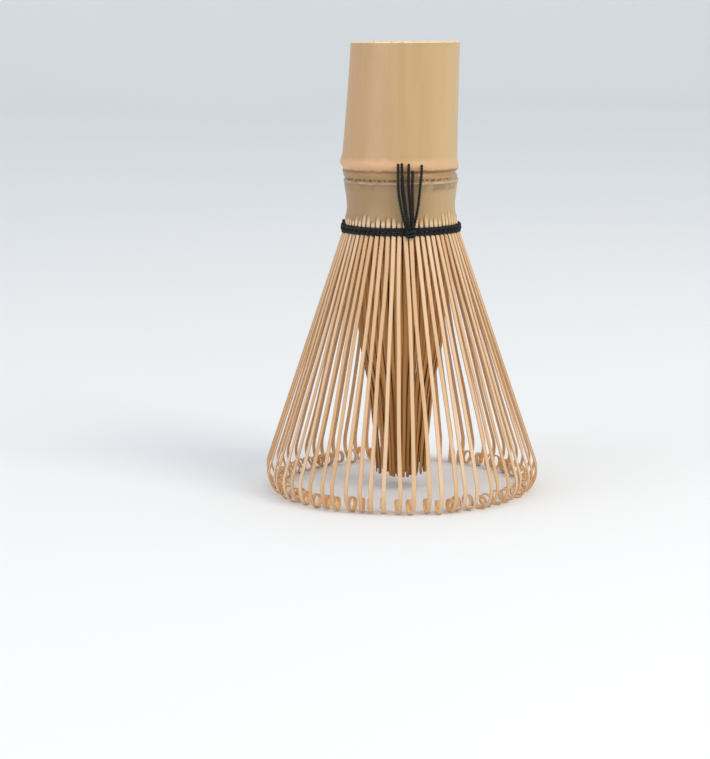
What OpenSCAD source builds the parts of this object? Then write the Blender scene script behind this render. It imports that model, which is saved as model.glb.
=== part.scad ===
// Bamboo tea whisk. One culm is cut square at the top, keeps its node as a grip, and is split below
// the node into a ring of outer tines and a bundle of inner tines. A black thread, wound round the
// roots, holds the two rings apart and is tied at the front. The whisk stands on the curled tips of
// its outer tines. Z is up, and the origin is on the axis, level with the lowest tips.

/* [Culm] */
// Length of the culm above the roots of the tines
culm_len = 41.4; // [38:0.1:46]
// Outer radius at the cut end
culm_top_r = 12.0; // [11.8:0.05:12.3]
// Outer radius just above the node
culm_base_r = 12.85; // [12.7:0.05:12.95]
// Radius of the natural hollow above the node
culm_bore_r = 9; // [8:0.1:9.6]
// Lean of the culm above the node, in degrees
culm_lean = 3.1; // [0:0.1:3.5]
// Outer radius of the swollen node
node_r = 13.1; // [13:0.05:13.2]
// Outer radius of the waist below the node
waist_r = 11.95; // [11.8:0.05:12.1]

/* [Outer tines] */
// Width of one outer tine
outer_w = 0.9; // [0.6:0.01:0.95]
// Lean of the straight blade away from the axis, in degrees
outer_lean = 18.6; // [15:0.1:21]
// Length of the blade, from the root to the shoulder
blade_len = 54.3; // [45:0.1:60]
// Radius of the inward bend at the shoulder
shoulder_r = 6.5; // [5:0.5:9]
// Radius of the curl at the tip
curl_r = 1.5; // [1.2:0.05:1.6]

/* [Inner tines] */
// Width of one inner tine
inner_w = 0.54; // [0.3:0.01:0.55]
// Gap from the lowest outer tip up to the tips of the inner tines
inner_lift = 3; // [1:0.1:6]

/* [Thread] */
// Thickness of one wound turn
turn_d = 0.8; // [0.6:0.01:0.8]
// Thickness of one loose end
tail_d = 0.46; // [0.35:0.01:0.5]

/* [Hidden] */
// Both rings have one tine for each finger of the split rim.
TINE_COUNT = 64;
TINE_STEP = 360 / TINE_COUNT;
OUTER_NODES = 16;
INNER_NODES = 8;
OUTER_GROUP = TINE_COUNT / OUTER_NODES;
INNER_GROUP = TINE_COUNT / INNER_NODES;

// A path is a list of [length, heading at its start, heading at its end, steps]. A heading is
// measured from straight down, and it is positive where the tine splays.
SHOULDER_END = -35;
CURL_MID = -190;
CURL_END = -310;
CURL_TIGHTEN = 0.75;
OUTER_PATH = [
    [blade_len, outer_lean, outer_lean, 1],
    [arc(shoulder_r, outer_lean, SHOULDER_END), outer_lean, SHOULDER_END, 6],
    [arc(curl_r, SHOULDER_END, CURL_MID), SHOULDER_END, CURL_MID, 8],
    [arc(curl_r * CURL_TIGHTEN, CURL_MID, CURL_END), CURL_MID, CURL_END, 6],
];
OUTER_ROOT_R = 13.02;
OUTER_ROOT_T = 0.5;
OUTER_TIP_T = 0.28;

// The inner tines lie in four layers, which part by the radius that their tips reach.
LAYER_TIP_R = [5.4, 3.1, 4.2, 2.1];
INNER_ROOT_R = 10.78;
INNER_ROOT_T = 0.35;
INNER_TIP_T = 0.25;
// Corners of an inner tine: [share of the drop, share of the way in that is still to go]
INNER_BEND = [[0, 1], [0.4, 0.8], [0.8, 0.1], [1, 0]];

// Heights, worked out up from the lowest point of an outer tip.
root_z = -min([for (p = walk(OUTER_PATH, [0, 0])) p.y]);
rim_z = root_z + 0.25;
top_z = root_z + culm_len;
lean_z = root_z + 16.1;
septum_bottom_z = root_z + 12.1;
slit_top_z = root_z + 3.4;
band_top_z = root_z + 1.9;
waist_z = root_z + 5.6;
scar_z = root_z + 12;

seat_r = 12.38;
throat_r = 9.8;
lean_shift = 0.4;
slit_w = 0.34;
slit_point_w = 0.08;
fine = 96;

KNOT_ANGLE = -81.3;
KNOT_R = 13.8;
knot_z = root_z + 0.95;
// Loose ends: [sideways at the knot, sideways at the top, height over the root, distance out].
TAILS = [
    [-0.9, -2.6, 15.7, 0],
    [-0.3, -1.9, 15.8, 0],
    [-0.6, -0.9, 15.2, 0.85],
    [0.3, -0.3, 15.6, 0],
    [0.2, 0.65, 14.4, 0.85],
    [0.9, 2.5, 15.6, 0],
];

function two_digits(i) = str(i < 10 ? "0" : "", i);

function arc(r, a, b) = r * abs(b - a) * PI / 180;
// An even rise from 0 to 1 that is level at both ends
function swell(t) = (1 - cos(180 * t)) / 2;

// Each step of a path, as [length, heading]
function steps(path) = [
    for (s = path) for (i = [0.5:1:s[3]]) [s[0] / s[3], s[1] + (s[2] - s[1]) * i / s[3]]
];
function forward(step) = step[0] * [sin(step[1]), -cos(step[1])];
// The points that a path passes from a start
function walk(path, start) =
    let (s = steps(path))
        [for (i = 0, p = start; i <= len(s); p = p + (i < len(s) ? forward(s[i]) : [0, 0]), i = i + 1) p];
// How far along a path each of its points is
function reach(s) = [for (i = 0, d = 0; i <= len(s); d = d + (i < len(s) ? s[i][0] : 0), i = i + 1) d];
function bend_at(s, i) = (s[max(i - 1, 0)][1] + s[min(i, len(s) - 1)][1]) / 2;
// Outline of a tine: its outer face follows the path, and it thins evenly from root to tip.
function outline(path, start, root_t, tip_t) =
    let (s = steps(path), face = walk(path, start), along = reach(s), n = len(s))
        concat(face, [
            for (i = [n:-1:0])
                let (t = root_t + (tip_t - root_t) * along[i] / along[n], a = bend_at(s, i))
                    face[i] - t * [cos(a), sin(a)]
        ]);

// A tine at an angle round the axis, cut from its outline at an even width.
module tine(k, points, w)
{
    rotate([90, 0, (k + 0.5) * TINE_STEP]) translate([0, 0, -w / 2])
        linear_extrude(height = w) polygon(points);
}

// Four outer tines that bend together.
module outer_tines(i)
{
    points = outline(OUTER_PATH, [OUTER_ROOT_R, root_z], OUTER_ROOT_T, OUTER_TIP_T);
    color("burlywood") for (k = [0:OUTER_GROUP - 1]) tine((i - 1) * OUTER_GROUP + k, points, outer_w);
}

// Path of an inner tine: nearly upright at first, then leaning in to its layer's place at the tip
function inner_path(layer) = [
    for (i = [1:len(INNER_BEND) - 1])
        let (
            drop = (INNER_BEND[i][0] - INNER_BEND[i - 1][0]) * (root_z - inner_lift),
            inward = (INNER_BEND[i - 1][1] - INNER_BEND[i][1]) * (INNER_ROOT_R - LAYER_TIP_R[layer]),
            lean = -atan(inward / drop)
        ) [norm([drop, inward]), lean, lean, 1]
];

// Eight inner tines that bend together, two in each layer.
module inner_tines(i)
{
    color("peru") for (k = [0:INNER_GROUP - 1])
    {
        path = inner_path(k % len(LAYER_TIP_R));
        points = outline(path, [INNER_ROOT_R, root_z], INNER_ROOT_T, INNER_TIP_T);
        tine((i - 1) * INNER_GROUP + k, points, inner_w);
    }
}

// Half section of the waist and the split rim, from the top down, with the hollow below the septum.
function neck_profile() = [
    [0, root_z + 15.1],
    [11.9, root_z + 15.1],
    [11.9, scar_z + 1.2],
    [12.3, scar_z + 0.4],
    [12.62, scar_z],
    for (t = [1:-0.2:0.1]) [waist_r + 0.6 * swell(t), waist_z + (scar_z - 0.4 - waist_z) * t],
    for (t = [0:0.25:0.9]) [waist_r + (seat_r - waist_r) * swell(t), waist_z - (waist_z - band_top_z) * t],
    [seat_r, band_top_z],
    [seat_r, rim_z],
    [throat_r, rim_z],
    [throat_r - 0.2, septum_bottom_z - 2],
    [throat_r - 1.3, septum_bottom_z],
    [0, septum_bottom_z],
];

// Half section of the node and the culm above it, along the culm's own leaning axis.
function culm_profile() =
    let (run = top_z - lean_z + 2)
        [
            [0, -2.7],
            [12.5, -2.7],
            for (a = [-80:20:60]) [node_r - 0.5 + 0.5 * cos(a), -1.05 + 1.3 * sin(a)],
            for (t = [0.02:0.14:1])
                [culm_top_r + (culm_base_r - culm_top_r) * pow(1 - t, 1.5), run * t],
            [culm_top_r, run],
            [0, run],
        ];

module on_leaning_axis()
{
    translate([-lean_shift, 0, lean_z]) rotate([0, culm_lean, 0]) children();
}

// One slit between two fingers of the rim. It starts inside the hollow and comes to a point above.
module slit(k)
{
    rotate([0, 0, k * TINE_STEP]) translate([throat_r - 1, 0, 0])
        rotate([90, 0, 90]) linear_extrude(height = node_r - throat_r + 1.5)
            polygon([
                [-slit_w / 2, rim_z - 1],
                [slit_w / 2, rim_z - 1],
                [slit_point_w / 2, slit_top_z],
                [-slit_point_w / 2, slit_top_z],
            ]);
}

// The grip: the culm above the node, the node with its septum, the waist and the split rim.
module culm_handle()
{
    color("wheat") difference()
    {
        union()
        {
            on_leaning_axis() rotate_extrude($fn = fine) polygon(culm_profile());
            rotate_extrude($fn = fine) polygon(neck_profile());
        }
        on_leaning_axis() translate([0, 0, -1.5]) cylinder(h = culm_len, r = culm_bore_r, $fn = fine);
        translate([-30, -30, top_z]) cube([60, 60, 10]);
        for (k = [0:TINE_COUNT - 1]) slit(k);
    }
}

module thread_ring(r, z, d)
{
    translate([0, 0, z]) rotate_extrude($fn = fine) translate([r, 0]) circle(d = d, $fn = 32);
}

// The two turns that bind the roots.
module thread_outer_turns()
{
    color("black") for (i = [0:1])
        thread_ring(seat_r + turn_d / 2 + 0.02, rim_z + turn_d / 2 + i * (turn_d + 0.01), turn_d);
}

// The turn that passes between the two rings of tines and holds them apart.
module thread_inner_turn()
{
    color("black") thread_ring(11.6, rim_z - 0.38, 0.7);
}

// A short round stretch of thread in the knot, turned about the line that points out of the whisk.
module knot_bar(turn, length, r)
{
    rotate([turn, 0, 0])
    {
        cylinder(h = length, r = r, center = true, $fn = 32);
        for (s = [-1, 1]) translate([0, 0, s * length / 2]) sphere(r = r, $fn = 32);
    }
}

// The knot at the front: two crossed turns under one that is pulled down over them.
module thread_knot()
{
    color("black") rotate([0, 0, KNOT_ANGLE]) translate([KNOT_R, 0, knot_z])
    {
        knot_bar(50, 1.6, 0.5);
        knot_bar(-50, 1.6, 0.5);
        translate([0.35, 0, 0]) knot_bar(90, 1, 0.48);
    }
}

// A loose end rises from the knot, lies near the waist and passes outside the node.
function tail_point(tail, t) = [
    13.5 + tail[3] * pow(1 - t, 0.7) - 0.2 * sin(180 * t) + 0.1 * t,
    tail[0] + (tail[1] - tail[0]) * pow(t, 1.2),
    root_z + 2.25 + (tail[2] - 2.25) * t,
];

module thread_tail(tail)
{
    sides = 8;
    rings = 9;
    ring = [for (j = [0:sides - 1]) tail_d / 2 * [cos(j * 360 / sides), sin(j * 360 / sides), 0]];
    polyhedron(
        points = [for (k = [0:rings]) for (c = ring) tail_point(tail, k / rings) + c],
        faces = concat(
            [[for (j = [0:sides - 1]) j]],
            [for (k = [0:rings - 1]) for (j = [0:sides - 1])
                let (a = k * sides + j, b = k * sides + (j + 1) % sides) [a, a + sides, b + sides, b]],
            [[for (j = [sides - 1:-1:0]) rings * sides + j]]
        )
    );
}

// The loose ends of the thread, above the knot.
module thread_tails()
{
    color("black") rotate([0, 0, KNOT_ANGLE]) for (tail = TAILS) thread_tail(tail);
}

culm_handle();
thread_outer_turns();
thread_inner_turn();
thread_knot();
thread_tails();
for (i = [1:OUTER_NODES]) outer_tines(i);
for (i = [1:INNER_NODES]) inner_tines(i);
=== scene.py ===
"""Looks of a bamboo tea whisk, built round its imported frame.

The whisk is one length of bamboo and one black thread. The bamboo is split into a ring of outer tines,
which curl in at their tips, and a bundle of inner tines. Lengths in this file are in millimetres, and
they become metres where a mesh, a light or the camera is made. Z is up, and the tips stand at zero.
"""

from __future__ import annotations

import logging
import math
from dataclasses import dataclass, field
from enum import Enum

import bpy
import numpy as np
from mathutils import Matrix, Vector

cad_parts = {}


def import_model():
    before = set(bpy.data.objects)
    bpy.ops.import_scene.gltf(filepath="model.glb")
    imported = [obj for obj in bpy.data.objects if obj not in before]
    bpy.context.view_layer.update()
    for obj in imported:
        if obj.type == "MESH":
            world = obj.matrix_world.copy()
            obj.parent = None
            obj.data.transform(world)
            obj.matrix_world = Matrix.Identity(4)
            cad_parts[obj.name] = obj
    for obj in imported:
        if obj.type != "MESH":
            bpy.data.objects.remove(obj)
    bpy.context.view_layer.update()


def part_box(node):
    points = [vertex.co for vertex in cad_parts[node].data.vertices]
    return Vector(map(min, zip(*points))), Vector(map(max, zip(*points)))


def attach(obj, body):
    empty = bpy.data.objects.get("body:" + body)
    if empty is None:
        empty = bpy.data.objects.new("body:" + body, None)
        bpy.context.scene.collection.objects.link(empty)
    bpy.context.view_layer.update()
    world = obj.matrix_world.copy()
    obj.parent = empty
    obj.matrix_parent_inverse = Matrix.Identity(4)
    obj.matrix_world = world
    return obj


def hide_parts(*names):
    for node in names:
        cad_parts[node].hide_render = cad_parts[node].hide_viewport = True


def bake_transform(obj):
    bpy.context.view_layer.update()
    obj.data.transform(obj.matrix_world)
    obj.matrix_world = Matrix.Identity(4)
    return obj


MM = 0.001
TAU = 2 * math.pi
LOG = logging.getLogger("tea_whisk")

Socket = bpy.types.NodeSocket
Point = tuple[float, float, float]


class Slot(Enum):
    """Names of the material slots."""

    CULM = "culm"
    OUTER = "outer_tine"
    INNER = "inner_tine"
    THREAD = "thread"


@dataclass(frozen=True)
class FrameSizes:
    """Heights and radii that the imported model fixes, in millimetres.

    Attributes:
        rim_z: height of the bottom edge of the culm.
        top_z: height of the cut end of the culm.
        inner_z: height of the lowest inner tip.
        band_low: height of the underside of the thread band.
        band_high: height of the top of the thread band.
        band_r: outer radius of the thread band.
        divider_r: outer radius of the turn between the two rings of tines.
        divider_low: height of the underside of that turn.
        divider_high: height of its top.
        knot_z: height of the middle of the knot.
    """

    rim_z: float
    top_z: float
    inner_z: float
    band_low: float
    band_high: float
    band_r: float
    divider_r: float
    divider_low: float
    divider_high: float
    knot_z: float

    @classmethod
    def read(cls) -> FrameSizes:
        """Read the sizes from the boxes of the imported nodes.

        Returns:
            The sizes, in millimetres.
        """
        culm_low, culm_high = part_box("culm_handle")
        band_low, band_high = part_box("thread_outer_turns")
        divider_low, divider_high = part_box("thread_inner_turn")
        knot_low, knot_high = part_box("thread_knot")
        return cls(
            rim_z=culm_low.z / MM,
            top_z=culm_high.z / MM,
            inner_z=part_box("inner_tines_1")[0].z / MM,
            band_low=band_low.z / MM,
            band_high=band_high.z / MM,
            band_r=band_high.x / MM,
            divider_r=divider_high.x / MM,
            divider_low=divider_low.z / MM,
            divider_high=divider_high.z / MM,
            knot_z=(knot_low.z + knot_high.z) / 2 / MM,
        )


def ease(t: np.ndarray | float) -> np.ndarray:
    """Smooth step: 0 below 0, 1 above 1, and 3t^2 - 2t^3 between."""
    t = np.clip(t, 0.0, 1.0)
    return t * t * (3 - 2 * t)


def bump(x: np.ndarray, centre: float, half: float) -> np.ndarray:
    """Bell curve: e to the minus of the squared distance from the centre over half, squared."""
    return np.exp(-(((x - centre) / half) ** 2))


def unit(v: np.ndarray) -> np.ndarray:
    """Each vector divided by its own length."""
    return v / np.maximum(np.linalg.norm(v, axis=-1, keepdims=True), 1e-12)


def faces_in(rings: np.ndarray) -> bool:
    """Whether a tube's sides face inwards: each side's area, dotted with its way out, sums below zero.

    Args:
        rings: (rings, sides, 3) places.

    Returns:
        True where the faces have to be turned over.
    """
    a, b, d = rings[:-1], np.roll(rings, -1, axis=1)[:-1], rings[1:]
    middle = rings.mean(axis=1, keepdims=True)[:-1]
    return float((np.cross(b - a, d - a) * (a - middle)).sum()) < 0


@dataclass
class Surface:
    """Points, faces and point values of one piece, gathered before its mesh is made."""

    points: list[np.ndarray] = field(default_factory=list)
    faces: list[list[int]] = field(default_factory=list)
    values: dict[str, list[np.ndarray]] = field(default_factory=dict)
    count: int = 0

    def add(self, points: np.ndarray, faces: list[list[int]], values: dict[str, np.ndarray]) -> None:
        """Append a block of points with its faces and named point values.

        Args:
            points: (n, 3) places in millimetres.
            faces: corner numbers, counted within this block.
            values: one number for each point, under the name that a material reads.
        """
        self.points.append(points)
        self.faces.extend([[i + self.count for i in f] for f in faces])
        for name, value in values.items():
            self.values.setdefault(name, []).append(value)
        self.count += len(points)

    def tubes(self, rings: np.ndarray, values: dict[str, np.ndarray], hoop: bool = False) -> None:
        """Append closed tubes, each a row of rings with a flat cap at both ends, or a hoop with none.

        Args:
            rings: (tubes, rings, sides, 3) places in millimetres.
            values: (tubes, rings, sides) numbers.
            hoop: whether each tube's last ring joins its first.
        """
        tubes, length, sides = rings.shape[:3]
        number = np.arange(tubes * length * sides).reshape(tubes, length, sides)
        ahead = np.roll(number, -1, axis=1)
        quads = np.stack([number, np.roll(number, -1, axis=2), np.roll(ahead, -1, axis=2), ahead], axis=-1)
        if hoop:
            faces = quads.reshape(-1, 4).tolist()
        else:
            caps = np.concatenate([number[:, 0, ::-1], number[:, -1]])
            faces = quads[:, :-1].reshape(-1, 4).tolist() + caps.tolist()
        if faces_in(rings[0]):
            faces = [f[::-1] for f in faces]
        self.add(rings.reshape(-1, 3), faces, {name: value.reshape(-1) for name, value in values.items()})

    def shell(self, rings: np.ndarray, values: dict[str, np.ndarray]) -> None:
        """Append a closed shell round an axis, whose first and last rings shrink to one point each.

        Args:
            rings: (rings, sides, 3) places in millimetres.
            values: (rings, sides) numbers.
        """
        length, sides = rings.shape[:2]
        number = np.arange(1, (length - 2) * sides + 1).reshape(length - 2, sides)
        beside = np.roll(number, -1, axis=1)
        last = number[-1, -1] + 1
        quads = np.stack([number[:-1], number[1:], beside[1:], beside[:-1]], axis=-1).reshape(-1, 4)
        first_fan = np.stack([np.zeros(sides, int), number[0], beside[0]], axis=-1)
        last_fan = np.stack([np.full(sides, last), beside[-1], number[-1]], axis=-1)
        faces = quads.tolist() + first_fan.tolist() + last_fan.tolist()
        points = np.concatenate([rings[0, :1], rings[1:-1].reshape(-1, 3), rings[-1, :1]])
        flat = {k: np.concatenate([v[0, :1], v[1:-1].reshape(-1), v[-1, :1]]) for k, v in values.items()}
        self.add(points, faces, flat)

    def build(self, name: str, material: bpy.types.Material) -> bpy.types.Object:
        """Make the mesh and its object, with its finish on it.

        Args:
            name: name of the piece.
            material: its finish.

        Returns:
            The new object, at the origin, with its place in its mesh.
        """
        mesh = bpy.data.meshes.new(name)
        mesh.from_pydata((np.concatenate(self.points) * MM).tolist(), [], self.faces)
        mesh.polygons.foreach_set("use_smooth", np.ones(len(mesh.polygons), dtype=bool))
        for key, parts in self.values.items():
            layer = mesh.attributes.new(key, "FLOAT", "POINT")
            layer.data.foreach_set("value", np.concatenate(parts).astype(np.float32))
        mesh.materials.append(material)
        mesh.update()
        piece = bpy.data.objects.new(name, mesh)
        bpy.context.scene.collection.objects.link(piece)
        LOG.info("%s: %d points, %d faces", name, len(mesh.vertices), len(mesh.polygons))
        return piece

    def build_on_handle(self, name: str, material: bpy.types.Material, node: str) -> None:
        """Make a piece that moves with the handle and stands for a node of it.

        Args:
            name: name of the piece.
            material: its finish.
            node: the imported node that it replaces.
        """
        piece = self.build(name, material)
        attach(piece, "handle")
        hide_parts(node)


# ---------------------------------------------------------------------------------------------- tines


@dataclass(frozen=True)
class Section:
    """Rounded oblong across a tine: cosine and sine, each raised to a power that squares the corners."""

    sides: int = 12
    square: float = 0.5

    def outline(self) -> np.ndarray:
        """Work out the outline, where 1 is half the width or half the thickness.

        Returns:
            (sides, 2) places: across the tine, and from its pith side out to its skin side.
        """
        a = (np.arange(self.sides) + 0.5) * TAU / self.sides
        c, s = np.cos(a), np.sin(a)
        return np.stack([np.sign(c) * abs(c) ** self.square, np.sign(s) * abs(s) ** self.square], -1)


@dataclass
class Strips:
    """Paths and widths of a ring of tines, as arrays with a row for a tine and a column for a station.

    Attributes:
        angle: angle of each tine round the axis.
        root: radius and height of the roots.
        heading: angle from straight down, above zero where a tine splays.
        length: distance from the root.
        turn: twist of the path about the vertical.
        sway: sideways shift.
        half_w: half the width.
        half_t: half the thickness.
        section: outline across a tine.
    """

    angle: np.ndarray
    root: tuple[float, float]
    heading: np.ndarray
    length: np.ndarray
    turn: np.ndarray
    sway: np.ndarray
    half_w: np.ndarray
    half_t: np.ndarray
    section: Section

    def rings(self) -> np.ndarray:
        """Carry the section along each tine's path.

        A step goes its length along (sin heading) outwards and (-cos heading) up. The way outwards is
        turned by the tine's angle plus its turn, so that the strip's own breadth stays level. The path
        is the running sum of those steps, and sway moves it sideways.

        Returns:
            (tines, stations, sides, 3) places.
        """
        way = self.angle[:, None] + self.turn
        level = np.stack([np.cos(way), np.sin(way), np.zeros_like(way)], -1)
        side = np.stack([-np.sin(way), np.cos(way), np.zeros_like(way)], -1)
        up = np.array([0.0, 0.0, 1.0])
        s, c = np.sin(self.heading)[..., None], np.cos(self.heading)[..., None]
        along, outward = level * s - up * c, level * c + up * s
        step = (along[:, 1:] + along[:, :-1]) / 2 * np.diff(self.length, axis=1)[..., None]
        root_r, root_z = self.root
        x, y = np.cos(self.angle) * root_r, np.sin(self.angle) * root_r
        first = np.stack([x, y, np.full_like(x, root_z)], -1)[:, None]
        centre = np.concatenate([first, first + np.cumsum(step, axis=1)], axis=1)
        centre = centre + side * self.sway[..., None]
        across, out = self.section.outline().T
        breadth = side[:, :, None] * (self.half_w[..., None] * across)[..., None]
        depth = outward[:, :, None] * (self.half_t[..., None] * out)[..., None]
        return centre[:, :, None] + breadth + depth

    def values(self, tone: np.ndarray) -> dict[str, np.ndarray]:
        """Work out the point values that the finish reads.

        Args:
            tone: each tine's own place between the deep and the pale colour.

        Returns:
            How far along a point is, how far across, how near the skin side, and the tine's tone.
        """
        across, out = self.section.outline().T
        full = np.ones(self.length.shape + (self.section.sides,))
        return {
            "along": full * self.length[..., None],
            "across": full * across,
            "skin": full * out,
            "tone": full * tone[:, None, None],
        }


@dataclass
class Tines:
    """What outer and inner tines share: where each stands, and how they are shared out among pieces.

    Attributes:
        sizes: heights and radii of the frame.
        finish: material of the tines.
        count: tines in the ring.
        groups: pieces that the ring is shared out among.
        bend_from: not used.
        bend_to: not used.
    """

    sizes: FrameSizes
    finish: bpy.types.Material
    count: int = 64
    groups: int = 16
    bend_from: float = 0.3
    bend_to: float = 22.0

    def angles(self) -> np.ndarray:
        """Angle of each tine round the axis, half a step on from the slit before it."""
        return (np.arange(self.count) + 0.5) * TAU / self.count

    def share_out(
        self, rings: np.ndarray, values: dict[str, np.ndarray], prefix: str, node: str, body: str, slot: Slot
    ) -> None:
        """Make one piece for each group of tines.

        Args:
            rings: places of all tines.
            values: their point values.
            prefix: form of each piece's name.
            node: form of the node's name that a piece replaces.
            body: not used.
            slot: not used.
        """
        each = self.count // self.groups
        for g in range(self.groups):
            pick = slice(g * each, (g + 1) * each)
            surface = Surface()
            surface.tubes(rings[pick], {k: v[pick] for k, v in values.items()})
            piece = surface.build(prefix.format(g + 1), self.finish)
            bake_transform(piece)
            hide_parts(node.format(g + 1))


@dataclass(frozen=True)
class Spread:
    """A size that varies from one tine or slit to the next, by a normal distribution."""

    mean: float
    deviation: float

    def draw(self, source: np.random.Generator, shape: int | tuple[int, int]) -> np.ndarray:
        """Draw one size for each place in the shape."""
        return source.normal(self.mean, self.deviation, shape)


@dataclass
class OuterHabits:
    """What varies from one outer tine to the next, with one number or row for each tine.

    Attributes:
        lean: lean of the blade.
        curl_r: radius of the curl where it starts.
        curl_turn: angle that the curl goes through.
        twist: turn of the curl about the vertical.
        stray: sideways shift of the blade's foot.
        bow: sideways reach of the blade's one, two and three half waves.
        drift: sideways shift at the end of the curl.
        ground: height of the tip over the ground.
        tone: place between the deep and the pale colour.
    """

    lean: np.ndarray
    curl_r: np.ndarray
    curl_turn: np.ndarray
    twist: np.ndarray
    stray: np.ndarray
    bow: np.ndarray
    drift: np.ndarray
    ground: np.ndarray
    tone: np.ndarray


@dataclass
class OuterTines(Tines):
    """The ring of outer tines: straight blades that bend in at the shoulder and curl up at the tip.

    Attributes:
        lean: lean of a blade, in degrees.
        blade: length of a blade before it is fitted to the ground.
        shoulder_r: radius of the inward bend.
        shoulder_end: heading where that bend ends.
        curl_r: radius of a curl where it starts.
        close_share: radius of a curl where it ends, as a share of where it starts.
        curl_turn: angle that a curl goes through, in degrees.
        twist: turn of a curl about the vertical, in degrees.
        stray: least and greatest sideways shift of a blade's foot.
        bow: sideways reach of a blade's waves.
        drift: sideways shift at the end of a curl.
        ground: height of a tip over the ground.
        root: radius and height of the roots.
        root_run: length of the bend under the thread.
        root_heading: heading at the root.
        width: width of a blade.
        root_t: thickness at the root.
        tip_t: thickness at the tip.
        seed: start of the random draws.
    """

    lean: Spread = Spread(18.6, 0.35)
    blade: float = 54.3
    shoulder_r: float = 5.8
    shoulder_end: float = math.radians(-40)
    curl_r: Spread = Spread(1.55, 0.0775)
    close_share: float = 1.2 / 1.55
    curl_turn: Spread = Spread(345.0, 16.0)
    twist: Spread = Spread(9.0, 8.0)
    stray: tuple[float, float] = (-0.13, 0.97)
    bow: Spread = Spread(0.0, 0.16)
    drift: Spread = Spread(-0.3, 0.28)
    ground: Spread = Spread(0.0, 0.18)
    root: tuple[float, float] = (12.2, 59.3)
    root_run: float = 1.5
    root_heading: float = math.radians(24)
    width: float = 0.92
    root_t: float = 0.5
    tip_t: float = 0.3
    seed: int = 11

    def habits(self) -> OuterHabits:
        """Draw what varies from tine to tine.

        Returns:
            The numbers of every tine.
        """
        source = np.random.default_rng(self.seed)
        n = self.count
        return OuterHabits(
            lean=np.radians(self.lean.draw(source, n)),
            curl_r=self.curl_r.draw(source, n),
            curl_turn=np.radians(self.curl_turn.draw(source, n)),
            twist=np.radians(self.twist.draw(source, n)),
            stray=source.uniform(*self.stray, n),
            bow=self.bow.draw(source, (n, 3)),
            drift=self.drift.draw(source, n),
            ground=np.abs(self.ground.draw(source, n)),
            tone=source.random(n),
        )

    def make(self) -> None:
        """Build the ring, with each blade made longer or shorter until its tip stands on the ground."""
        habits = self.habits()
        blade = np.full(self.count, self.blade)
        for _ in range(3):
            strips = self.strips(habits, blade)
            rings = strips.rings()
            blade = blade + (rings[..., 2].min(axis=(1, 2)) - habits.ground) / np.cos(habits.lean)
        values = strips.values(habits.tone)
        # The curl's own colour fades in along the shoulder.
        fade_from, fade_over = 3.0, 5.0
        curled = ease((strips.length - blade[:, None] - fade_from) / fade_over)
        values["curl"] = np.ones_like(values["tone"]) * curled[..., None]
        self.share_out(
            rings, values, "outer_tine_group_{:02d}", "outer_tines_{:02d}", "outer_group_{:02d}", Slot.OUTER
        )

    def strips(self, habits: OuterHabits, blade: np.ndarray) -> Strips:
        """Work out the paths: a short bend at the root, a straight blade, a shoulder arc and a curl.

        The heading changes evenly along each stretch but the curl, which bends ever more tightly, so
        that its heading lags behind an even turn by a share of t(1 - t).

        Args:
            habits: what varies from tine to tine.
            blade: length of each blade.

        Returns:
            The strips of the whole ring.
        """
        lean, curl_r, curl_turn = habits.lean[:, None], habits.curl_r[:, None], habits.curl_turn[:, None]
        arc = self.shoulder_r * (lean - self.shoulder_end)
        curl = curl_r * (1 + self.close_share) / 2 * curl_turn
        at_blade = self.root_run
        at_shoulder = at_blade + blade[:, None]
        at_curl = at_shoulder + arc
        # A stretch's end is the start of the next one, so only the curl keeps its own.
        t_root, t_blade = np.linspace(0, 1, 5)[:-1], np.linspace(0, 1, 15)[:-1]
        t_arc, t_curl = np.linspace(0, 1, 12)[:-1], np.linspace(0, 1, 34)
        whole = np.ones_like(lean)
        length = np.concatenate(
            [
                whole * t_root * self.root_run,
                at_blade + blade[:, None] * t_blade,
                at_shoulder + arc * t_arc,
                at_curl + curl * t_curl,
            ],
            axis=1,
        )
        lag = (1 - self.close_share) / (1 + self.close_share) * t_curl * (1 - t_curl)
        heading = np.concatenate(
            [
                self.root_heading * (1 - t_root) * whole + lean * t_root,
                lean * np.ones_like(t_blade),
                lean + (self.shoulder_end - lean) * t_arc,
                self.shoulder_end - curl_turn * (t_curl - lag),
            ],
            axis=1,
        )
        along_blade = np.clip((length - at_blade) / blade[:, None], 0, 1)
        past = np.clip((length - at_shoulder) / arc, 0, 1)
        in_curl = np.clip((length - at_curl) / curl, 0, 1)
        waves = np.sin(math.pi * along_blade[..., None] * np.arange(1, 4)) * np.array([1.0, 0.6, 0.45])
        bowed = (waves * habits.bow[:, None]).sum(-1)
        thinned = 0.85 * along_blade + 0.15 * past
        return Strips(
            angle=self.angles(),
            root=self.root,
            heading=heading,
            length=length,
            turn=habits.twist[:, None] * ease(past),
            sway=bowed + habits.drift[:, None] * in_curl + habits.stray[:, None] * along_blade,
            half_w=self.width / 2 * (1 - 0.1 * np.sin(math.pi * along_blade) + 0.04 * past),
            half_t=(self.root_t + (self.tip_t - self.root_t) * thinned) / 2,
            section=Section(),
        )


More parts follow.
